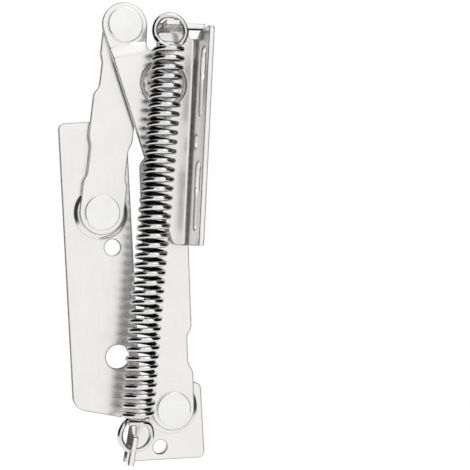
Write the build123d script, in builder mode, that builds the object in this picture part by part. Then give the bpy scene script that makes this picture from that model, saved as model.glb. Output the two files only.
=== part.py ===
"""Sofa bed hinge: four stamped plates on four rivets, with a tension spring from the base to the bracket.

Frame: X to the right, Z up, the hinge's front toward -Y. The origin is the centre of the base
plate's middle screw hole on the plate's back face. A depth is a distance from that face toward -Y.
The hinge stands in its closed position, with the bracket's flange upright.
"""

from build123d import *
from math import atan, cos, hypot, pi, radians, sin, sqrt, tan
import os

os.makedirs("parts", exist_ok=True)

# Sheet metal, millimetres
sheet = 2.5
running_gap = 0.1
same_place = 1e-3

# Pivot centres as (x, z), closed position
short_foot = (-6.8, 16.7)
short_top = (-0.7, 108.7)
long_foot = (33.8, -78.7)
long_top = (19.7, 81.8)

# Rivets
shank_radius = 5.0
rivet_head_radius = 8.5
rivet_head_height = 2.0
rivet_head_round = 0.5
tail_radius = 8.0
tail_height = 1.4
press_gap = 0.02
pivot_clearance = 0.05

# Base plate, corners of its outline as (x, z)
wing_top_left = (-29.6, 58.7)
wing_top_right = (3.4, 63.3)
wing_inner_corner = (16.7, -62.8)
foot_top_right = (48.4, -66.6)
foot_bottom_right = (52.5, -104.0)
foot_bottom_z = -105.5
wing_bottom_z = -84.5
wing_bottom_left = (-15.1, -79.4)
corner_radius = 3.0
big_corner_radius = 7.0
boss_foot_radius = 13.2
boss_radius = 11.5
boss_rise = 1.5
boss_wall = 2.0
boss_round = 0.5
middle_hole_radius = 4.1
big_hole = (5.4, -53.8)
big_hole_radius = 6.0
foot_hole = (29.1, -98.5)
foot_hole_radius = 3.6

# Hook tab on the foot's left edge, which leans and isn't bent fully square
hook_edge = (13.1, -90.0)
hook_edge_lean = 7.4
hook_slant = 6.0
hook_root_top = 4.5
hook_root_bottom = -13.0
hook_root_straight = 3.5
hook_root_depth = 9.5
hook_reach = 22.9
hook_lip = 3.7
hook_lip_drop = 8.2
hook_finger_height = 5.7
hook_taper = 3.5
hook_root_round = 1.5
hook_shoulder_round = 2.0
hook_tip_round = 1.2
hook_throat_round = 0.8

# Links
link_end_radius = 10.8
short_top_radius = 9.8
long_top_radius = 9.2
short_waist = 9.3
short_upper_waist = 8.5
short_lower_waist_at = (18.0, 32.0)
short_upper_waist_at = (61.0, 73.0)
long_waist = 8.4
long_waist_at = (22.0, 36.0)
long_left_half_width = 12.4
long_neck_half_width = 8.8
long_neck_from = 126.0
waist_slope = 4.0
waist_round = 5.0

# Angle bracket
head_radius = 11.0
bracket_lean = 21.1
joggle = 2.0
joggle_tilt = 17.2
joggle_start = 9.9
joggle_end = 15.4
joggle_round = 4.0
joggle_land = 3.0
head_zone = 11.6
bracket_bottom = 2.9
bracket_bottom_round = 4.0
slot_bottom = 97.6
head_side = 10.3
neck_left = 15.4
neck_right = 31.0
neck_shoulder = 105.2
neck_round = 1.5
slot_round = 2.4
dimple_radius = 11.8
dimple_floor_radius = 10.0
dimple_back_radius = 11.0
dimple_back_rim_radius = 12.3
bend_inner = 2.0
flange_face = 37.5
beyond_the_plate = 200.0
cut_margin = 1.0
flange_top = 107.9
flange_rise = 3.5
flange_rise_round = 2.0
flange_reach = 34.5
flange_corner = 2.5
tab_top = 110.1
tab_tilt = 5.3
shelf_reach = 16.5
ear_right = 37.4
ear_back = 12.6
finger_left = 16.0
finger_right = 22.9
finger_reach = 24.5

# Cut-outs of the flange as (depth, z)
keyhole_pitch = 55.4
keyhole_wide_top = 99.1
keyhole_length = 33.6
keyhole_wide_length = 17.1
keyhole_wide_width = 9.0
keyhole_wide_depth = 26.0
keyhole_narrow_width = 6.0
keyhole_narrow_depth = 25.0
round_hole = (19.5, 53.4)
round_hole_radius = 3.75

# Tension spring; the lower ring's centre is (x, z). From the coil the wire comes down by the neck to the
# round part of the ring, which closes with a straight run in front of the neck. The run's bend and cut end
# are (right, away, up) from the lower ring's centre
lower_ring_place = (13.0, -89.35)
upper_ring_x = 19.3
wire_radius = 1.35
coil_radius = 6.75
ring_radius = 7.65
whole_turns = 39
lower_coil_offset = 7.7
upper_coil_offset = 8.6
coil_start_angle = 40.0
neck_angle = 126.0
neck_away = 1.2
ring_start_angle = 155.0
ring_sweep = 239.0
ring_steps = 3
ring_bend = (1.4, -1.8, 5.9)
ring_end = (-4.4, -1.8, 5.9)
samples_a_turn = 24
samples_a_ring = 40

# Depths of the stack
boss_front = sheet + boss_rise
link_back = boss_front + running_gap
link_front = link_back + sheet
base_rivet_head = link_front + running_gap
base_rivet_front = base_rivet_head + rivet_head_height
head_back = link_front + running_gap
head_front = head_back + sheet
web_back = head_back + joggle
web_front = web_back + sheet
bend_outer = bend_inner + sheet
bend_depth = web_front + bend_inner
bend_x = flange_face - bend_outer

# Centres of the spring's end rings as (x, depth, z): the lower one lies against the lip of the hook, the
# upper one hangs on the bracket's finger
ring_bore = ring_radius - wire_radius
lip_back = hook_reach - hook_lip
lower_ring = (lower_ring_place[0], lip_back - wire_radius - running_gap, lower_ring_place[1])
finger_corner_top = tab_top + (finger_right - neck_left) * tan(radians(tab_tilt))
upper_ring = (
    upper_ring_x,
    (shelf_reach + finger_reach) / 2,
    finger_corner_top - sqrt((ring_bore - running_gap) ** 2 - (finger_right - upper_ring_x) ** 2),
)


def facing(depth):
    """The plane at this depth, seen from the front: local x is X, local y is Z. Extruding comes nearer."""
    return Plane(origin=(0, -depth, 0), x_dir=(1, 0, 0), z_dir=(0, -1, 0))


def along(start, end, depth):
    """The plane at this depth with its origin on start and its local y toward end."""
    length = hypot(end[0] - start[0], end[1] - start[1])
    across = ((end[1] - start[1]) / length, (start[0] - end[0]) / length)
    return Plane(origin=(start[0], -depth, start[1]), x_dir=(across[0], 0, across[1]), z_dir=(0, -1, 0))


def distance(start, end):
    return hypot(end[0] - start[0], end[1] - start[1])


def disc(center, radius, start, end, mode=Mode.ADD):
    """A round disc from one depth to a nearer one."""
    with BuildSketch(facing(start)) as profile:
        with Locations(center):
            Circle(radius)
    extrude(profile.sketch, amount=end - start, mode=mode)


def tapered_disc(center, start, start_radius, end, end_radius, mode=Mode.ADD):
    """A slice of a cone from one depth to a nearer one."""
    with BuildSketch(facing(start)) as far_side:
        with Locations(center):
            Circle(start_radius)
    with BuildSketch(facing(end)) as near_side:
        with Locations(center):
            Circle(end_radius)
    loft([far_side.sketch, near_side.sketch], mode=mode)


# Base plate


def hook_edge_x(z):
    """X of the foot's left edge at this height."""
    return hook_edge[0] + (z - hook_edge[1]) * tan(radians(hook_edge_lean))


hook_up = Vector(sin(radians(hook_edge_lean)), 0, cos(radians(hook_edge_lean)))
hook_side = Vector(cos(radians(hook_edge_lean)), 0, -sin(radians(hook_edge_lean)))
hook_forward = hook_side * -sin(radians(hook_slant)) + Vector(0, -cos(radians(hook_slant)), 0)
hook_plane = Plane(
    origin=(hook_edge[0], 0, hook_edge[1]), x_dir=hook_forward, z_dir=hook_forward.cross(hook_up)
)

# The finger's lower edge bears on the inside of the ring's wire
hook_offset = hook_side.dot(
    hook_plane.origin
    + hook_forward * lower_ring[1]
    + hook_side * (sheet / 2)
    - Vector(lower_ring[0], -lower_ring[1], lower_ring[2])
)
hook_corner = abs(hook_offset) + sheet / 2
ring_up = hook_up.dot(Vector(lower_ring[0] - hook_edge[0], 0, lower_ring[2] - hook_edge[1]))
finger_bottom = ring_up - sqrt((ring_bore - running_gap) ** 2 - hook_corner**2)
finger_top = finger_bottom + hook_finger_height

with BuildPart() as base_plate:
    with BuildSketch(facing(0)):
        with BuildLine():
            FilletPolyline(
                wing_top_left,
                wing_top_right,
                wing_inner_corner,
                foot_top_right,
                foot_bottom_right,
                (hook_edge_x(foot_bottom_z), foot_bottom_z),
                (hook_edge_x(wing_bottom_z), wing_bottom_z),
                wing_bottom_left,
                radius=[
                    corner_radius,
                    corner_radius,
                    corner_radius,
                    corner_radius,
                    corner_radius,
                    0,
                    0,
                    big_corner_radius,
                ],
                close=True,
            )
        make_face()
    extrude(amount=sheet)
    with BuildSketch(hook_plane):
        with BuildLine():
            FilletPolyline(
                (0, hook_root_top),
                (hook_root_straight, hook_root_top),
                (hook_root_depth + hook_taper, finger_top),
                (hook_reach, finger_top),
                (hook_reach, finger_bottom - hook_lip_drop),
                (lip_back, finger_bottom - hook_lip_drop),
                (lip_back, finger_bottom),
                (hook_root_depth + hook_taper, finger_bottom),
                (hook_root_depth, hook_root_bottom),
                (0, hook_root_bottom),
                radius=[
                    0,
                    hook_root_round,
                    hook_shoulder_round,
                    hook_root_round,
                    hook_tip_round,
                    hook_tip_round,
                    hook_throat_round,
                    hook_shoulder_round,
                    hook_shoulder_round,
                    0,
                ],
                close=True,
            )
        make_face()
    extrude(amount=-sheet)
    for boss in (short_foot, long_foot):
        tapered_disc(boss, sheet, boss_foot_radius, boss_front, boss_radius)
        disc(boss, boss_radius - boss_wall, 0, boss_rise, mode=Mode.SUBTRACT)
        disc(boss, shank_radius + press_gap, 0, boss_front, mode=Mode.SUBTRACT)
    disc((0, 0), middle_hole_radius, 0, sheet, mode=Mode.SUBTRACT)
    disc(big_hole, big_hole_radius, 0, sheet, mode=Mode.SUBTRACT)
    disc(foot_hole, foot_hole_radius, 0, sheet, mode=Mode.SUBTRACT)
    boss_rims = base_plate.edges().filter_by(GeomType.CIRCLE).filter_by(
        lambda e: abs(e.radius - boss_radius) < same_place and abs(e.center().Y + boss_front) < same_place
    )
    fillet(boss_rims, boss_round)

# Links, in their own planes: local x across, local y from the foot pivot to the top pivot


def waist(start, end, half_width, waist_half_width):
    """Four corners of a waist on the right side, from below to above."""
    return [
        (half_width, start - waist_slope),
        (waist_half_width, start),
        (waist_half_width, end),
        (half_width, end + waist_slope),
    ]


short_length = distance(short_foot, short_top)
short_side = (
    waist(*short_lower_waist_at, link_end_radius, short_waist)
    + waist(*short_upper_waist_at, link_end_radius, short_upper_waist)[:3]
    + [(short_top_radius, short_upper_waist_at[1] + waist_slope)]
)

short_rounds = [waist_round] * len(short_side)

with BuildPart() as short_link:
    with BuildSketch(along(short_foot, short_top, link_back)):
        with BuildLine():
            right = [(link_end_radius, 0)] + short_side + [(short_top_radius, short_length)]
            left = [(-x, y) for x, y in reversed(right)]
            FilletPolyline(
                *right,
                *left,
                radius=[0] + short_rounds + [0, 0] + short_rounds + [0],
                close=True,
            )
        make_face()
        Circle(link_end_radius)
        with Locations((0, short_length)):
            Circle(short_top_radius)
        Circle(shank_radius + pivot_clearance, mode=Mode.SUBTRACT)
        with Locations((0, short_length)):
            Circle(shank_radius + pivot_clearance, mode=Mode.SUBTRACT)
    extrude(amount=sheet)

long_length = distance(long_foot, long_top)
long_right = waist(*long_waist_at, link_end_radius, long_waist) + [
    (link_end_radius, long_neck_from - 2 * waist_slope),
    (long_neck_half_width, long_neck_from),
    (long_neck_half_width, long_length - long_top_radius),
]
long_left = [
    (-long_neck_half_width, long_length - long_top_radius),
    (-long_neck_half_width, long_neck_from),
    (-long_left_half_width, long_neck_from - waist_slope),
    (-long_left_half_width, long_waist_at[1] + 2 * waist_slope),
    (-long_waist, long_waist_at[1]),
    (-long_waist, long_waist_at[0]),
    (-link_end_radius, long_waist_at[0] - waist_slope),
]

with BuildPart() as long_link:
    with BuildSketch(along(long_foot, long_top, link_back)):
        with BuildLine():
            FilletPolyline(
                (link_end_radius, 0),
                *long_right,
                (long_top_radius, long_length),
                (-long_top_radius, long_length),
                *long_left,
                (-link_end_radius, 0),
                radius=[0]
                + [waist_round] * (len(long_right) - 1)
                + [0, 0, 0, 0]
                + [waist_round] * (len(long_left) - 1)
                + [0],
                close=True,
            )
        make_face()
        Circle(link_end_radius)
        with Locations((0, long_length)):
            Circle(long_top_radius)
        Circle(shank_radius + pivot_clearance, mode=Mode.SUBTRACT)
        with Locations((0, long_length)):
            Circle(shank_radius + press_gap, mode=Mode.SUBTRACT)
    extrude(amount=sheet)

# Angle bracket

edge_way = (sin(radians(bracket_lean)), -cos(radians(bracket_lean)))
head_left = (short_top[0] + head_radius * edge_way[1], short_top[1] - head_radius * edge_way[0])
edge_run = (head_left[1] - bracket_bottom) / -edge_way[1]
bottom_left = (head_left[0] + edge_run * edge_way[0], bracket_bottom)

# The top tab's bend line rises to the right; tab_top is the tab's height at the neck's left edge
tab_way = Vector(cos(radians(tab_tilt)), 0, sin(radians(tab_tilt)))
tab_up = Vector(-sin(radians(tab_tilt)), 0, cos(radians(tab_tilt)))
neck_top = tab_top - bend_outer / cos(radians(tab_tilt))
neck_top_right = neck_top + (neck_right - neck_left) * tan(radians(tab_tilt))

# Across the joggle, seen along the crease: local x runs down the head, local y toward the front
crease = Vector(cos(radians(joggle_tilt)), 0, sin(radians(joggle_tilt)))
down_head = Vector(sin(radians(joggle_tilt)), 0, -cos(radians(joggle_tilt)))
head_center = Vector(short_top[0], 0, short_top[1])
front_shift = sheet * tan(atan(joggle / (joggle_end - joggle_start)) / 2)


def crease_plane(offset):
    """The plane across the crease, this far to the right of the head's centre. Extruding goes left."""
    return Plane(origin=head_center + crease * offset, x_dir=down_head, z_dir=crease * -1)


def across_tab(x):
    """How far along the leaning tab, from the neck's left edge, this x is."""
    return (x - neck_left) / cos(radians(tab_tilt))


def keyhole(wide_top):
    """A wide slot that narrows below, in a sketch of (-depth, z)."""
    wide_center = wide_top - keyhole_wide_length / 2
    narrow_bottom = wide_top - keyhole_length
    with Locations((-keyhole_wide_depth, wide_center)):
        SlotOverall(keyhole_wide_length, keyhole_wide_width, rotation=90)
    with Locations((-keyhole_narrow_depth, (narrow_bottom + wide_center) / 2)):
        SlotOverall(wide_center - narrow_bottom, keyhole_narrow_width, rotation=90)


with BuildPart() as angle_bracket:
    with BuildSketch(facing(head_back)):
        with BuildLine():
            FilletPolyline(
                head_left,
                bottom_left,
                (bend_x, bracket_bottom),
                (bend_x, neck_shoulder),
                (neck_right, neck_shoulder),
                (neck_right, neck_top_right),
                (neck_left, neck_top),
                (neck_left, slot_bottom),
                (head_side, slot_bottom),
                (head_side, short_top[1]),
                radius=[0, bracket_bottom_round, 0, 0, neck_round, 0, 0, slot_round, slot_round, 0],
                close=True,
            )
        make_face()
        with Locations(short_top):
            Circle(head_radius)
    extrude(amount=web_front - head_back)
    with BuildSketch(crease_plane(head_zone)):
        with BuildLine():
            FilletPolyline(
                (-beyond_the_plate, head_front),
                (joggle_start - front_shift, head_front),
                (joggle_end - front_shift, web_front),
                (joggle_end + joggle_land, web_front),
                (joggle_end + joggle_land, web_front + cut_margin),
                (-beyond_the_plate, web_front + cut_margin),
                radius=[0, joggle_round, joggle_round, 0, 0, 0],
                close=True,
            )
        make_face()
    extrude(amount=beyond_the_plate, mode=Mode.SUBTRACT)
    with BuildSketch(crease_plane(beyond_the_plate)):
        with BuildLine():
            FilletPolyline(
                (joggle_start - joggle_land, head_back - cut_margin),
                (joggle_start - joggle_land, head_back),
                (joggle_start, head_back),
                (joggle_end, web_back),
                (beyond_the_plate, web_back),
                (beyond_the_plate, head_back - cut_margin),
                radius=[0, 0, joggle_round, joggle_round, 0, 0],
                close=True,
            )
        make_face()
    extrude(amount=2 * beyond_the_plate, mode=Mode.SUBTRACT)
    with BuildSketch(crease_plane(beyond_the_plate)):
        with Locations(((joggle_end - beyond_the_plate) / 2, (web_back + head_back - cut_margin) / 2)):
            Rectangle(beyond_the_plate + joggle_end + cut_margin, web_back - head_back + cut_margin)
    extrude(amount=beyond_the_plate - head_zone, mode=Mode.SUBTRACT)
    # Dimple round the long link's upper pivot
    tapered_disc(long_top, head_back, dimple_back_radius, web_back, dimple_back_rim_radius)
    tapered_disc(long_top, head_front, dimple_floor_radius, web_front, dimple_radius, mode=Mode.SUBTRACT)
    disc(long_top, shank_radius + press_gap, head_back, web_front, mode=Mode.SUBTRACT)
    disc(short_top, shank_radius + press_gap, head_back, web_front, mode=Mode.SUBTRACT)
    # Flange and its bend, extruded upwards
    with BuildSketch(Plane.XY.offset(bracket_bottom)):
        with BuildLine():
            CenterArc((bend_x, -bend_depth), bend_outer, 0, 90)
            Line((bend_x, -web_back), (bend_x, -web_front))
            CenterArc((bend_x, -bend_depth), bend_inner, 0, 90)
            Polyline(
                (flange_face - sheet, -bend_depth),
                (flange_face - sheet, -flange_reach),
                (flange_face, -flange_reach),
                (flange_face, -bend_depth),
            )
        make_face()
    extrude(amount=flange_top - bracket_bottom)
    flange_corners = (
        angle_bracket.edges()
        .filter_by(Axis.X)
        .filter_by(lambda e: abs(e.center().Y + flange_reach) < same_place)
    )
    fillet(flange_corners, flange_corner)
    # The flange stands higher than the web, with a soft rise past the bend
    with BuildSketch(Plane.YZ.offset(bend_x)):
        with BuildLine():
            FilletPolyline(
                (-web_back, flange_top + cut_margin),
                (-web_back, neck_shoulder),
                (-bend_depth, neck_shoulder),
                (-bend_depth - flange_rise, flange_top),
                (-bend_depth - flange_rise, flange_top + cut_margin),
                radius=[0, 0, flange_rise_round, 0, 0],
                close=True,
            )
        make_face()
    extrude(amount=bend_outer, mode=Mode.SUBTRACT)
    # Top tab: the neck bends forward into a shelf with a finger and a small ear
    with BuildSketch(Plane(origin=(neck_left, 0, neck_top), x_dir=(0, 1, 0), z_dir=tab_way)):
        with BuildLine():
            CenterArc((-bend_depth, 0), bend_outer, 0, 90)
            Line((-web_back, 0), (-web_front, 0))
            CenterArc((-bend_depth, 0), bend_inner, 0, 90)
            Polyline(
                (-bend_depth, bend_inner),
                (-shelf_reach, bend_inner),
                (-shelf_reach, bend_outer),
                (-bend_depth, bend_outer),
            )
        make_face()
    extrude(amount=across_tab(neck_right))
    with BuildSketch(Plane(origin=(neck_left, 0, tab_top), x_dir=tab_way, z_dir=tab_up)):
        with BuildLine():
            Polyline(
                (across_tab(neck_right - cut_margin), -ear_back),
                (across_tab(ear_right), -ear_back),
                (across_tab(ear_right), -shelf_reach),
                (across_tab(neck_right - cut_margin), -shelf_reach),
                close=True,
            )
        make_face()
        with BuildLine():
            Polyline(
                (across_tab(finger_left), -shelf_reach + cut_margin),
                (across_tab(finger_right), -shelf_reach + cut_margin),
                (across_tab(finger_right), -finger_reach),
                (across_tab(finger_left), -finger_reach),
                close=True,
            )
        make_face()
    extrude(amount=-sheet)
    with BuildSketch(Plane.YZ.offset(flange_face - 2 * sheet)):
        keyhole(keyhole_wide_top)
        keyhole(keyhole_wide_top - keyhole_pitch)
        with Locations((-round_hole[0], round_hole[1])):
            Circle(round_hole_radius)
    extrude(amount=3 * sheet, mode=Mode.SUBTRACT)

# Rivets


def round_rim(part, depth):
    """Round the front rim of a rivet head."""
    rims = part.edges().filter_by(GeomType.CIRCLE)
    fillet(rims.filter_by(lambda e: abs(e.center().Y + depth) < same_place), rivet_head_round)


with BuildPart() as short_link_rivet:
    disc(short_foot, tail_radius, boss_rise - tail_height, boss_rise)
    disc(short_foot, shank_radius, boss_rise, base_rivet_head)
    disc(short_foot, rivet_head_radius, base_rivet_head, base_rivet_front)
    round_rim(short_link_rivet, base_rivet_front)

with BuildPart() as long_link_rivet:
    disc(long_foot, tail_radius, boss_rise - tail_height, boss_rise)
    disc(long_foot, shank_radius, boss_rise, base_rivet_head)
    disc(long_foot, rivet_head_radius, base_rivet_head, base_rivet_front)
    round_rim(long_link_rivet, base_rivet_front)

with BuildPart() as bracket_rivet:
    disc(short_top, tail_radius, link_back - running_gap - tail_height, link_back - running_gap)
    disc(short_top, shank_radius, link_back - running_gap, head_front)
    disc(short_top, rivet_head_radius, head_front, head_front + rivet_head_height)
    round_rim(bracket_rivet, head_front + rivet_head_height)

# The web rivet in two halves, which meet between the link and the dimple
with BuildPart() as web_rivet_head:
    disc(long_top, shank_radius, head_back, head_front)
    disc(long_top, rivet_head_radius, head_front, head_front + rivet_head_height)
    round_rim(web_rivet_head, head_front + rivet_head_height)

with BuildPart() as web_rivet_tail:
    disc(long_top, tail_radius, link_back - tail_height, link_back)
    disc(long_top, shank_radius, link_back, link_front)

# Tension spring: an unbroken wire, a ring, the coil and a ring, joined by biarcs

lower_center = Vector(lower_ring[0], -lower_ring[1], lower_ring[2])
upper_center = Vector(upper_ring[0], -upper_ring[1], upper_ring[2])
spring_up = (upper_center - lower_center).normalized()
spring_right = (Vector(1, 0, 0) - spring_up * spring_up.X).normalized()
spring_away = spring_up.cross(spring_right)
spring_length = (upper_center - lower_center).length
coil_length = spring_length - lower_coil_offset - upper_coil_offset
# The upper end is the lower one turned half round about the line across the spring
turns = whole_turns + -2 * coil_start_angle % 360 / 360
pitch = coil_length / turns


def spring_point(right, away, up):
    """A place given across, away from the front and along the spring, from the lower ring's centre."""
    return lower_center + spring_right * right + spring_away * away + spring_up * up


def spring_way(right, away, up):
    return (spring_right * right + spring_away * away + spring_up * up).normalized()


def coil_station(turn):
    """Place and direction on the coil, this many turns above its lower end."""
    angle = radians(coil_start_angle) + 2 * pi * turn
    rise = pitch / (2 * pi)
    place = spring_point(
        coil_radius * cos(angle), coil_radius * sin(angle), lower_coil_offset + pitch * turn
    )
    return place, spring_way(-coil_radius * sin(angle), coil_radius * cos(angle), rise)


def on_end(place, way, upper):
    """A station of an end of the spring, given for the lower end; the upper end is that one turned over."""
    if upper:
        return spring_point(place[0], -place[1], spring_length - place[2]), spring_way(
            way[0], -way[1], -way[2]
        )
    return spring_point(*place), spring_way(*way)


def ring_station(angle, away, upper):
    """Place and direction on an end ring, this many degrees round and this far from its plane."""
    right, up = cos(radians(angle)), sin(radians(angle))
    return on_end((ring_radius * right, away, ring_radius * up), (-up, 0, right), upper)


def round_station(part, upper):
    """Place and direction this part of the way round the round part of an end ring."""
    return ring_station(ring_start_angle + ring_sweep * part, 0, upper)


def ring_stations(upper):
    """An end of the spring from the neck to the cut end."""
    stations = [ring_station(neck_angle, neck_away, upper)]
    stations += [round_station(i / ring_steps, upper) for i in range(ring_steps + 1)]
    return stations + [on_end(ring_bend, (-1, 0, 0), upper), on_end(ring_end, (-1, 0, 0), upper)]


def biarc(start, end):
    """Two arcs that leave the start station and reach the end station along their directions, or a line
    where both directions lie along it."""
    (p0, t0), (p1, t1) = start, end
    chord, both = p1 - p0, t0 + t1
    if (t0 * chord.length - chord).length + (t1 * chord.length - chord).length < same_place:
        Line(p0, p1)
        return
    spread = 2 * (1 - t0.dot(t1))
    reach = -chord.dot(both)
    if spread < 1e-9:
        handle = chord.dot(chord) / (4 * chord.dot(t1))
    else:
        handle = (reach + sqrt(reach**2 + spread * chord.dot(chord))) / spread
    a, b = p0 + t0 * handle, p1 - t1 * handle
    middle = (a + b) * 0.5
    TangentArc(p0, middle, tangent=t0)
    TangentArc(middle, p1, tangent=(b - a).normalized())


def backwards(station):
    return station[0], station[1] * -1


coil_steps = int(round(2 * turns))
lower_ring_stations = [backwards(station) for station in reversed(ring_stations(False))]
coil_stations = [coil_station(turns * i / coil_steps) for i in range(coil_steps + 1)]
upper_ring_stations = ring_stations(True)


def wire_along(stations):
    """Sweep the round wire along biarcs through these stations."""
    with BuildLine() as path:
        for start, end in zip(stations, stations[1:]):
            biarc(start, end)
    with BuildSketch(Plane(origin=stations[0][0], z_dir=stations[0][1])) as section:
        Circle(wire_radius)
    sweep(section.sketch, path=path.wires()[0])


with BuildPart() as tension_spring:
    wire_along(lower_ring_stations + coil_stations + upper_ring_stations[:1])

with BuildPart() as spring_upper_eye:
    wire_along(upper_ring_stations)

# The wire's least gap to itself, on points along the coil and the round part of both rings
samples = [round_station(1 - i / samples_a_ring, False)[0] for i in range(samples_a_ring + 1)]
samples += [coil_station(i / samples_a_turn)[0] for i in range(int(samples_a_turn * turns) + 1)]
samples += [round_station(i / samples_a_ring, True)[0] for i in range(samples_a_ring + 1)]
apart = samples_a_turn // 3
least = min(
    (samples[i] - samples[j]).length for i in range(len(samples)) for j in range(i + apart, len(samples))
)
least_gap = least - 2 * wire_radius
print(f"spring {spring_length:.2f} long, pitch {pitch:.3f}, least gap to itself {least_gap:.2f}")

nodes = {
    "base_plate": base_plate,
    "short_link": short_link,
    "long_link": long_link,
    "angle_bracket": angle_bracket,
    "short_link_rivet": short_link_rivet,
    "long_link_rivet": long_link_rivet,
    "bracket_rivet": bracket_rivet,
    "web_rivet_head": web_rivet_head,
    "web_rivet_tail": web_rivet_tail,
    "tension_spring": tension_spring,
    "spring_upper_eye": spring_upper_eye,
}
for name, node in nodes.items():
    node.part.label = name
    export_step(node.part, f"parts/{name}.step")
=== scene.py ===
"""Sofa bed hinge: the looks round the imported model, in metres, with the hinge's front toward -Y."""

import math

import bpy
import numpy as np
from mathutils import Matrix, Vector


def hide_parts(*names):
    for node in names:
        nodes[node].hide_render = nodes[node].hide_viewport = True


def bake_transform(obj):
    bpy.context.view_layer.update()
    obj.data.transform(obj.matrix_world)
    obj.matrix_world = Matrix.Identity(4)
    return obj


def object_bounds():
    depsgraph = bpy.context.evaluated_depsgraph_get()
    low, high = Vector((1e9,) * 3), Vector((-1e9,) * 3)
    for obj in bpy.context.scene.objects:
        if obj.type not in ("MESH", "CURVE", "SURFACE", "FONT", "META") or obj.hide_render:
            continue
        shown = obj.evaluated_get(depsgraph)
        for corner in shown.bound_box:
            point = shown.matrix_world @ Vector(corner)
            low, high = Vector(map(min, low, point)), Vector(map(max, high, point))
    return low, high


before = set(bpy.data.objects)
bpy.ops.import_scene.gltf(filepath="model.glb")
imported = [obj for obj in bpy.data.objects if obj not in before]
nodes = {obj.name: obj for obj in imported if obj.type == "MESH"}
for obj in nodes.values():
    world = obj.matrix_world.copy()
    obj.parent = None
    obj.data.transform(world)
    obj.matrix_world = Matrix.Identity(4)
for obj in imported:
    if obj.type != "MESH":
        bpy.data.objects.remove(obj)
cad_low, cad_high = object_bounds()

mm = 0.001

# Camera: where it stands, the ways ahead and to its right, and its focal length in the picture's pixels
camera_place = (-0.088601, -0.475, 0.001617)
camera_ahead = (0.305282, 0.952133, 0.015679)
camera_right = (0.95088, -0.305685, 0.048835)
focal_pixels = 967.8
picture_pixels = 470
sensor_width = 36.0
near_clip = 0.01

# Tension spring, as in the part
lower_ring = np.array((13.0, -17.75, -89.35)) * mm
upper_ring = np.array((19.3, -20.5, 105.748)) * mm
spring_length = np.linalg.norm(upper_ring - lower_ring)
wire_radius = 1.35 * mm
coil_radius = 6.75 * mm
ring_radius = 7.65 * mm
lower_coil_offset = 7.7 * mm
upper_coil_offset = 8.6 * mm
coil_start = math.radians(40)
neck_angle = math.radians(126)
neck_away = 1.2 * mm
neck_run = 0.3 * mm
ring_start = math.radians(155)
ring_sweep = math.radians(239)
ring_bend = np.array((1.4, -1.8, 5.9)) * mm
ring_end = np.array((-4.4, -1.8, 5.9)) * mm
turns = 39 + 280 / 360

# The wire's mesh: stations along each stretch and sides round it
stations_a_turn = 40
ring_stations = 60
link_stations = 14
straight_stations = 8
wire_sides = 20
# Each cut end is a flat face with its rim broken: (share of the radius, set back in radii)
cut_end = ((0.0, 0.0), (0.8, 0.0), (0.95, 0.06), (1.0, 0.2))

# Points this near each other are one
weld_reach = 1e-6

# Broken edges of the stamped pieces
edge_ease = 0.5 * mm
edge_segments = 2
sharp_edge = math.radians(40)

# Zinc plating of the sheet, and the painted shade along its sheared edges, which is full and gone at these
# cosines between the rounded and the true normal
sheet_dark = (0.84, 0.832, 0.824)
sheet_light = (0.9, 0.893, 0.886)
sheet_roughness = (0.18, 0.27)
sheet_metallic = 0.93
streak_stretch = (1.0, 1.0, 0.08)
streak_share = 0.35
painted_edge_shade_width = 1.0 * mm
painted_edge_shade_samples = 8
painted_edge_shade_color = (0.07, 0.067, 0.064)
painted_edge_shade_cosines = (0.86, 0.985)

# Rivet steel
rivet_dark = (0.85, 0.845, 0.837)
rivet_light = (0.9, 0.895, 0.89)
rivet_roughness = (0.2, 0.28)

# Spring wire, and the painted shade inside the coil: its colour and where it starts and is full, as cosines
# between the wire's normal and the way to the coil's axis
wire_dark = (0.68, 0.675, 0.67)
wire_light = (0.76, 0.755, 0.75)
wire_roughness = (0.11, 0.19)
painted_coil_shade_color = (0.02, 0.019, 0.018)
painted_coil_shade_cosines = (0.02, 0.4)

# The middle part of a noise's values, over which a colour or a roughness runs from its low to its high
noise_low = 0.3
noise_high = 0.7

# Floor: half its side, how far it lies under the hinge, and its strengths of white
floor_reach = 0.4
floor_drop = 0.1
floor_glow = 0.94
floor_matt = 0.3
floor_plain = 0.9

# Soft light of the studio on matt surfaces: (degrees from the hinge's front, positive to the right,
# brightness) near the level and high up or low down, and the rises between which one gives way to the other
level_panels = (
    (-180, 0.06),
    (-168, 0.1),
    (-160, 0.55),
    (-145, 0.55),
    (-125, 0.2),
    (-105, 0.2),
    (-75, 0.02),
    (-38, 0.01),
    (-27, 1.15),
    (40, 1.15),
    (50, 0.015),
    (112, 0.015),
    (122, 0.4),
    (148, 0.4),
    (160, 0.03),
    (180, 0.03),
)
raised_panels = ((-180, 0.06), (-70, 0.06), (-50, 1.0), (34, 1.0), (60, 0.06), (180, 0.06))
panel_rises = (0.72, 0.86)
# The studio is brighter low down: the rises and the strengths there
strength_rises = (-0.3, 0.3)
studio_strengths = (1.13, 0.88)

# Black cards round the hinge: their spans in degrees from its front, positive to the right, in metres
card_spans = ((-140, -33), (45, 120), (150, 196))
card_steps = 24
card_reach = 0.8
card_rise = 1.6
card_grey = 0.015


# Spring


def unit(v):
    return v / np.linalg.norm(v, axis=-1, keepdims=True)


def spring_axes():
    """Right, away and up along the spring, from the line between its ring centres."""
    up = unit(upper_ring - lower_ring)
    right = unit(np.array((1.0, 0, 0)) - up * up[0])
    return right, np.cross(up, right), up


def in_spring(across, away, up):
    """Arrays of places across, away and up the spring, as points: the lower ring plus each place times its
    axis."""
    right_axis, away_axis, up_axis = spring_axes()
    return lower_ring + np.outer(across, right_axis) + np.outer(away, away_axis) + np.outer(up, up_axis)


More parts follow.
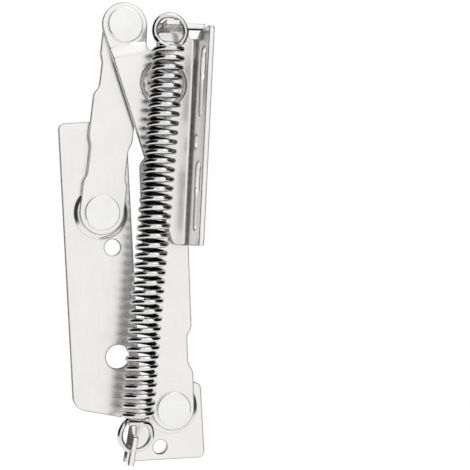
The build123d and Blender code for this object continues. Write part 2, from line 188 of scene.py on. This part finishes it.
def end_ring(upper):
    """An end of the wire from the coil to its cut end: the neck, a circle R(cos a, 0, sin a), a bend and a
    straight run in front of the neck. The upper end is the lower one turned over."""
    slope = np.array((-math.sin(neck_angle), 0, math.cos(neck_angle)))
    leave = ring_radius * np.array((math.cos(neck_angle), 0, math.sin(neck_angle)))
    leave = leave + np.array((0, neck_away, 0)) + np.outer((-neck_run, 0), slope)
    neck = in_spring(*leave.T)
    angle = ring_start + np.linspace(0, ring_sweep, ring_stations)
    run = np.linspace(0, 1, straight_stations)
    round_part = in_spring(ring_radius * np.cos(angle), 0 * angle, ring_radius * np.sin(angle))
    straight = in_spring(*(ring_bend + np.outer(run, ring_end - ring_bend)).T)
    line = np.vstack((neck, bridge(neck, round_part), round_part, bridge(round_part, straight), straight))
    if not upper:
        return line
    away_axis, up_axis = spring_axes()[1:]
    away = (line - lower_ring) @ away_axis
    up = (line - lower_ring) @ up_axis
    return line - np.outer(2 * away, away_axis) + np.outer(spring_length - 2 * up, up_axis)


def coil():
    """The helix r(cos a, sin a) that climbs one pitch a turn."""
    length = spring_length - lower_coil_offset - upper_coil_offset
    turn = np.linspace(0, turns, int(turns * stations_a_turn) + 1)
    angle = coil_start + 2 * math.pi * turn
    up = lower_coil_offset + length * turn / turns
    return in_spring(coil_radius * np.cos(angle), coil_radius * np.sin(angle), up)


def bridge(before, after):
    """A cubic from the end of one run to the start of the next, along both of their directions: the sum
    of both ends and both directions, each times its Hermite polynomial in t."""
    start, end = before[-1], after[0]
    reach = np.linalg.norm(end - start)
    leave = unit(before[-1] - before[-2]) * reach
    arrive = unit(after[1] - after[0]) * reach
    t = np.linspace(0, 1, link_stations)[1:-1, None]
    return (
        (2 * t**3 - 3 * t**2 + 1) * start
        + (t**3 - 2 * t**2 + t) * leave
        + (3 * t**2 - 2 * t**3) * end
        + (t**3 - t**2) * arrive
    )


def wire_line():
    """The wire's centre line: lower ring, coil and upper ring, joined by cubics."""
    below, middle, above = end_ring(False)[::-1], coil(), end_ring(True)
    return np.vstack((below, bridge(below, middle), middle, bridge(middle, above), above))


def carried_frames(line):
    """Tangents, and a sideways direction carried along the line without twist: at each station it is the
    last one less its part along the tangent."""
    tangent = unit(np.gradient(line, axis=0))
    side = np.empty_like(line)
    side[0] = np.cross(tangent[0], spring_axes()[1])
    for i in range(1, len(line)):
        side[i] = side[i - 1] - tangent[i] * np.dot(side[i - 1], tangent[i])
        side[i] /= np.linalg.norm(side[i])
    return tangent, side


def inner_side(line, normals):
    """How far each point of the wire faces the coil's axis, 0 to 1, and 0 on the end rings: the cosine
    between its normal and the way to the axis."""
    up_axis = spring_axes()[2]
    from_ring = line - lower_ring
    up = from_ring @ up_axis
    on_coil = (up > lower_coil_offset) & (up < spring_length - upper_coil_offset)
    to_axis = -unit(from_ring - np.outer(up, up_axis))
    return np.clip((normals * to_axis[:, None, :]).sum(axis=-1), 0, 1) * on_coil[:, None]


def mesh_object(name, points, faces):
    """A new object in the scene, from arrays of points and of faces."""
    mesh = bpy.data.meshes.new(name)
    mesh.from_pydata(points.tolist(), [], faces.tolist())
    obj = bpy.data.objects.new(name, mesh)
    bpy.context.scene.collection.objects.link(obj)
    return obj


def round_wire(name, line, radius):
    """A round wire along a line: line(s) + radius(cos b side + sin b over), with eased cut ends."""
    tangent, side = carried_frames(line)
    over = np.cross(tangent, side)
    share, back = np.array(cut_end).T
    first = line[0] + np.outer(back, tangent[0]) * radius
    last = line[-1] - np.outer(back, tangent[-1])[::-1] * radius
    centers = np.vstack((first, line[1:-1], last))
    shares = np.concatenate((share, np.ones(len(line) - 2), share[::-1]))
    # The station of the line whose directions each ring of points takes
    station = np.clip(np.arange(len(centers)) - len(cut_end) + 1, 0, len(line) - 1)
    turn = 2 * math.pi * np.arange(wire_sides) / wire_sides
    offset = np.cos(turn)[None, :, None] * side[station][:, None, :]
    offset = offset + np.sin(turn)[None, :, None] * over[station][:, None, :]
    points = centers[:, None, :] + radius * shares[:, None, None] * offset
    grid = np.arange(len(centers) * wire_sides).reshape(len(centers), wire_sides)
    here, ahead = grid[:-1], grid[1:]
    faces = np.stack((here, np.roll(here, -1, axis=1), np.roll(ahead, -1, axis=1), ahead), axis=-1)
    obj = mesh_object(name, points.reshape(-1, 3), faces.reshape(-1, 4))
    # How far each point faces the coil's axis: the mask of the painted shade inside the coil
    inside = obj.data.attributes.new("inside", "FLOAT", "POINT")
    inside.data.foreach_set("value", inner_side(centers, offset).astype(np.float32).ravel())
    weld = obj.modifiers.new("close the ends", "WELD")
    weld.merge_threshold = weld_reach
    bake_modifiers(obj)
    obj.data.shade_smooth()
    return obj


def bake_modifiers(obj):
    """Replaces the mesh by the one that its modifiers give."""
    depsgraph = bpy.context.evaluated_depsgraph_get()
    mesh = bpy.data.meshes.new_from_object(obj.evaluated_get(depsgraph))
    obj.modifiers.clear()
    obj.data = mesh


# Materials


class Nodes:
    """Short calls for building a material's or a world's node tree."""

    def __init__(self, tree):
        self.tree = tree
        tree.nodes.clear()

    def add(self, kind, inputs=None, **settings):
        node = self.tree.nodes.new(kind)
        for key, value in settings.items():
            setattr(node, key, value)
        for key, value in (inputs or {}).items():
            if isinstance(value, bpy.types.NodeSocket):
                self.tree.links.new(value, node.inputs[key])
            else:
                node.inputs[key].default_value = value
        return node

    def compute(self, operation, *values):
        return self.add("ShaderNodeMath", dict(enumerate(values)), operation=operation).outputs[0]

    def ramp(self, factor, stops):
        """Straight runs of colour or grey between the stops, each a place and its value."""
        node = self.add("ShaderNodeValToRGB", {"Fac": factor})
        node.color_ramp.interpolation = "LINEAR"
        elements = node.color_ramp.elements
        while len(elements) > 1:
            elements.remove(elements[-1])
        elements[0].position = stops[0][0]
        elements[0].color = opaque(stops[0][1])
        for position, value in stops[1:]:
            elements.new(position).color = opaque(value)
        return node.outputs["Color"]

    def between(self, factor, low, high):
        """The middle part of a noise as a run from one colour to another."""
        return self.ramp(factor, ((noise_low, low), (noise_high, high)))

    def noise(self, place, scale, detail):
        inputs = {"Vector": place, "Scale": scale, "Detail": detail}
        return self.add("ShaderNodeTexNoise", inputs).outputs["Fac"]

    def spread(self, value, start, end):
        """A straight run between two points, each the value that comes in and the one that goes out."""
        inputs = {"From Min": start[0], "From Max": end[0], "To Min": start[1], "To Max": end[1]}
        return self.add("ShaderNodeMapRange", {"Value": value, **inputs}).outputs["Result"]

    def mix(self, factor, first, second):
        """The first colour where the factor is 0 and the second where it is 1. The node's inputs 6 and 7 are
        its two colours, and its output 2 is the mixed one."""
        inputs = {"Factor": factor, 6: first, 7: second}
        return self.add("ShaderNodeMix", inputs, data_type="RGBA").outputs[2]

    def bumps(self, height, strength, distance, **inputs):
        inputs = {"Height": height, "Strength": strength, "Distance": distance, **inputs}
        return self.add("ShaderNodeBump", inputs).outputs["Normal"]

    def seen(self):
        """1 for what the eye sees, straight, in a mirror or through glass, and 0 for other light."""
        ray = self.add("ShaderNodeLightPath").outputs
        mirrored = self.compute("MAXIMUM", ray["Is Camera Ray"], ray["Is Glossy Ray"])
        return self.compute("MAXIMUM", mirrored, ray["Is Transmission Ray"])


def opaque(value):
    """A colour or a grey as four numbers."""
    return (*value, 1.0) if isinstance(value, tuple) else (value, value, value, 1.0)


def new_material(name):
    material = bpy.data.materials.new(name)
    material.use_nodes = True
    return material, Nodes(material.node_tree)


def metal_surface(n, color, rough, normal, metallic=1.0):
    inputs = {"Base Color": color, "Metallic": metallic, "Roughness": rough, "Normal": normal}
    shader = n.add("ShaderNodeBsdfPrincipled", inputs)
    n.add("ShaderNodeOutputMaterial", {"Surface": shader.outputs["BSDF"]})


def plated_sheet(name):
    """Zinc-plated rolled steel: faint streaks along the sheet, cloudy patches, a fine grain, and painted
    shade along the sheet's edges.
    """
    material, n = new_material(name)
    place = n.add("ShaderNodeTexCoord").outputs["Object"]
    along = n.add("ShaderNodeMapping", {"Vector": place, "Scale": streak_stretch}).outputs["Vector"]
    streaks = n.noise(along, scale=900.0, detail=2.0)
    clouds = n.noise(place, scale=55.0, detail=4.0)
    grain = n.noise(place, scale=2600.0, detail=3.0)
    mixed = n.add("ShaderNodeMix", {"Factor": streak_share, "A": clouds, "B": streaks}, data_type="FLOAT")
    plating = n.between(mixed.outputs["Result"], sheet_dark, sheet_light)
    rough = n.spread(grain, (noise_low, sheet_roughness[0]), (noise_high, sheet_roughness[1]))
    # Painted shade: a near-black rim along the sheared edges, where the rounded normal turns
    # away from the true one
    rounded = n.add("ShaderNodeBevel", {"Radius": painted_edge_shade_width}, samples=painted_edge_shade_samples).outputs["Normal"]
    flat = n.add("ShaderNodeNewGeometry").outputs["True Normal"]
    turned = n.add("ShaderNodeVectorMath", {0: rounded, 1: flat}, operation="DOT_PRODUCT").outputs["Value"]
    painted_edge_shade_mask = n.ramp(turned, ((painted_edge_shade_cosines[0], 1.0), (painted_edge_shade_cosines[1], 0.0)))
    color = n.mix(painted_edge_shade_mask, plating, opaque(painted_edge_shade_color))
    normal = n.bumps(grain, strength=0.25, distance=0.04 * mm, Normal=rounded)
    metal_surface(n, color, rough, normal, metallic=sheet_metallic)
    return material


def pressed_rivet(name):
    """Bright rivet steel: an even satin with faint pits from the press."""
    material, n = new_material(name)
    place = n.add("ShaderNodeTexCoord").outputs["Object"]
    clouds = n.noise(place, scale=160.0, detail=3.0)
    grain = n.noise(place, scale=3200.0, detail=2.0)
    color = n.between(clouds, rivet_dark, rivet_light)
    rough = n.spread(clouds, (noise_low, rivet_roughness[0]), (noise_high, rivet_roughness[1]))
    normal = n.bumps(grain, strength=0.15, distance=0.03 * mm)
    metal_surface(n, color, rough, normal)
    return material


def bright_wire(name):
    """Polished spring wire with fine draw marks, and painted shade darkening the coil's inner side."""
    material, n = new_material(name)
    place = n.add("ShaderNodeTexCoord").outputs["Object"]
    marks = n.noise(place, scale=1400.0, detail=3.0)
    clouds = n.noise(place, scale=90.0, detail=2.0)
    bright = n.between(clouds, wire_dark, wire_light)
    inside = n.add("ShaderNodeAttribute", attribute_name="inside").outputs["Fac"]
    # Painted shade: the side of each turn that faces the coil's axis goes near black
    painted_coil_shade_mask = n.ramp(inside, ((painted_coil_shade_cosines[0], 0.0), (painted_coil_shade_cosines[1], 1.0)))
    color = n.mix(painted_coil_shade_mask, bright, opaque(painted_coil_shade_color))
    rough = n.spread(marks, (noise_low, wire_roughness[0]), (noise_high, wire_roughness[1]))
    normal = n.bumps(marks, strength=0.08, distance=0.03 * mm)
    metal_surface(n, color, rough, normal)
    return material


def dress(obj, material):
    obj.data.materials.clear()
    obj.data.materials.append(material)


def break_edges(obj):
    """Eases the sharp edges of a stamped piece."""
    weld = obj.modifiers.new("weld", "WELD")
    weld.merge_threshold = weld_reach
    bevel = obj.modifiers.new("broken edges", "BEVEL")
    bevel.width = edge_ease
    bevel.segments = edge_segments
    bevel.limit_method = "ANGLE"
    bevel.angle_limit = sharp_edge
    bevel.harden_normals = True


plate_finish = plated_sheet("zinc plating")
rivet_finish = pressed_rivet("rivet steel")
wire_finish = bright_wire("spring wire")

for name in ("base_plate", "short_link", "long_link", "angle_bracket"):
    dress(nodes[name], plate_finish)
    break_edges(nodes[name])
for name in ("short_link_rivet", "long_link_rivet", "bracket_rivet", "web_rivet_head", "web_rivet_tail"):
    dress(nodes[name], rivet_finish)

spring = round_wire("spring_wire", wire_line(), wire_radius)
dress(spring, wire_finish)
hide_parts("tension_spring", "spring_upper_eye")
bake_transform(spring)

# Stage


def white_floor():
    """A square floor under the hinge, at z = lowest - drop, white to the eye and to metal, that keeps a
    faint shadow."""
    corners = floor_reach * np.array(((-1, -1), (1, -1), (1, 1), (-1, 1)))
    height = np.full(len(corners), cad_low[2] - floor_drop)
    floor = mesh_object("floor", np.column_stack((corners, height)), np.arange(len(corners))[None])
    material, n = new_material("floor")
    glow = n.add("ShaderNodeEmission", {"Color": opaque(1.0), "Strength": floor_glow})
    matt = n.add("ShaderNodeBsdfDiffuse", {"Color": opaque(floor_matt)})
    both = n.add("ShaderNodeAddShader", {0: glow.outputs[0], 1: matt.outputs[0]})
    plain = n.add("ShaderNodeBsdfDiffuse", {"Color": opaque(floor_plain)})
    surface = n.add("ShaderNodeMixShader", {0: n.seen(), 1: plain.outputs[0], 2: both.outputs[0]})
    n.add("ShaderNodeOutputMaterial", {"Surface": surface.outputs[0]})
    dress(floor, material)


def studio_world():
    """A white backdrop to the eye and to metal, and the studio's soft panels for matt surfaces. A panel's
    place is the angle atan2(x, -y) from the hinge's front."""
    world = bpy.data.worlds.new("studio")
    world.use_nodes = True
    n = Nodes(world.node_tree)
    way = n.add("ShaderNodeTexCoord").outputs["Generated"]
    axes = n.add("ShaderNodeSeparateXYZ", {"Vector": way}).outputs
    around = n.compute("ARCTAN2", axes["X"], n.compute("MULTIPLY", axes["Y"], -1.0))
    share = n.spread(around, (-math.pi, 0.0), (math.pi, 1.0))
    level = n.ramp(share, [((angle + 180) / 360, value) for angle, value in level_panels])
    raised = n.ramp(share, [((angle + 180) / 360, value) for angle, value in raised_panels])
    rise = n.compute("ABSOLUTE", axes["Z"])
    lifted = n.ramp(rise, ((panel_rises[0], 0.0), (panel_rises[1], 1.0)))
    studio = n.mix(lifted, level, raised)
    strength = n.spread(axes["Z"], *zip(strength_rises, studio_strengths))
    lit = n.add("ShaderNodeBackground", {"Color": studio, "Strength": strength})
    backdrop = n.add("ShaderNodeBackground", {"Color": opaque(1.0), "Strength": 1.0})
    surface = n.add("ShaderNodeMixShader", {0: n.seen(), 1: lit.outputs[0], 2: backdrop.outputs[0]})
    n.add("ShaderNodeOutputWorld", {"Surface": surface.outputs[0]})
    bpy.context.scene.world = world


def dark_cards():
    """Tall black cards at both sides of the hinge and behind it, which only the metal's mirror image shows:
    upright strips of the cylinder (R sin a, -R cos a, z)."""
    material, n = new_material("black card")
    black = n.add("ShaderNodeBsdfDiffuse", {"Color": opaque(card_grey)})
    n.add("ShaderNodeOutputMaterial", {"Surface": black.outputs[0]})
    for number, (start, end) in enumerate(card_spans):
        angle = np.radians(np.linspace(start, end, card_steps))
        x, y = card_reach * np.sin(angle), -card_reach * np.cos(angle)
        rows = [np.column_stack((x, y, np.full(card_steps, z))) for z in (-card_rise, card_rise)]
        low = np.arange(card_steps - 1)
        faces = np.column_stack((low, low + 1, low + 1 + card_steps, low + card_steps))
        card = mesh_object(f"card {number}", np.vstack(rows), faces)
        card.visible_camera = False
        card.visible_diffuse = False
        card.visible_transmission = False
        card.visible_shadow = False
        dress(card, material)


def soft_lamp(name, place, aim, size, energy):
    light = bpy.data.lights.new(name, "AREA")
    light.shape = "SQUARE"
    light.size = size
    light.energy = energy
    obj = bpy.data.objects.new(name, light)
    obj.location = place
    obj.rotation_euler = (Vector(aim) - Vector(place)).to_track_quat("-Z", "Y").to_euler()
    bpy.context.scene.collection.objects.link(obj)


def photo_camera():
    """The camera of the photograph: a square picture whose focal length is known in pixels."""
    camera = bpy.data.cameras.new("camera")
    camera.sensor_width = sensor_width
    camera.sensor_fit = "HORIZONTAL"
    camera.lens = sensor_width * focal_pixels / picture_pixels
    camera.clip_start = near_clip
    obj = bpy.data.objects.new("camera", camera)
    ahead = Vector(camera_ahead).normalized()
    right = (Vector(camera_right) - ahead * Vector(camera_right).dot(ahead)).normalized()
    up = right.cross(ahead)
    pose = Matrix((right, up, -ahead)).transposed().to_4x4()
    pose.translation = camera_place
    obj.matrix_world = pose
    bpy.context.scene.collection.objects.link(obj)
    bpy.context.scene.camera = obj


white_floor()
studio_world()
dark_cards()
soft_lamp("key", place=(0.5, -0.9, 0.9), aim=(0, 0, 0), size=0.7, energy=1.5)
photo_camera()
bpy.context.scene.view_settings.view_transform = "Standard"
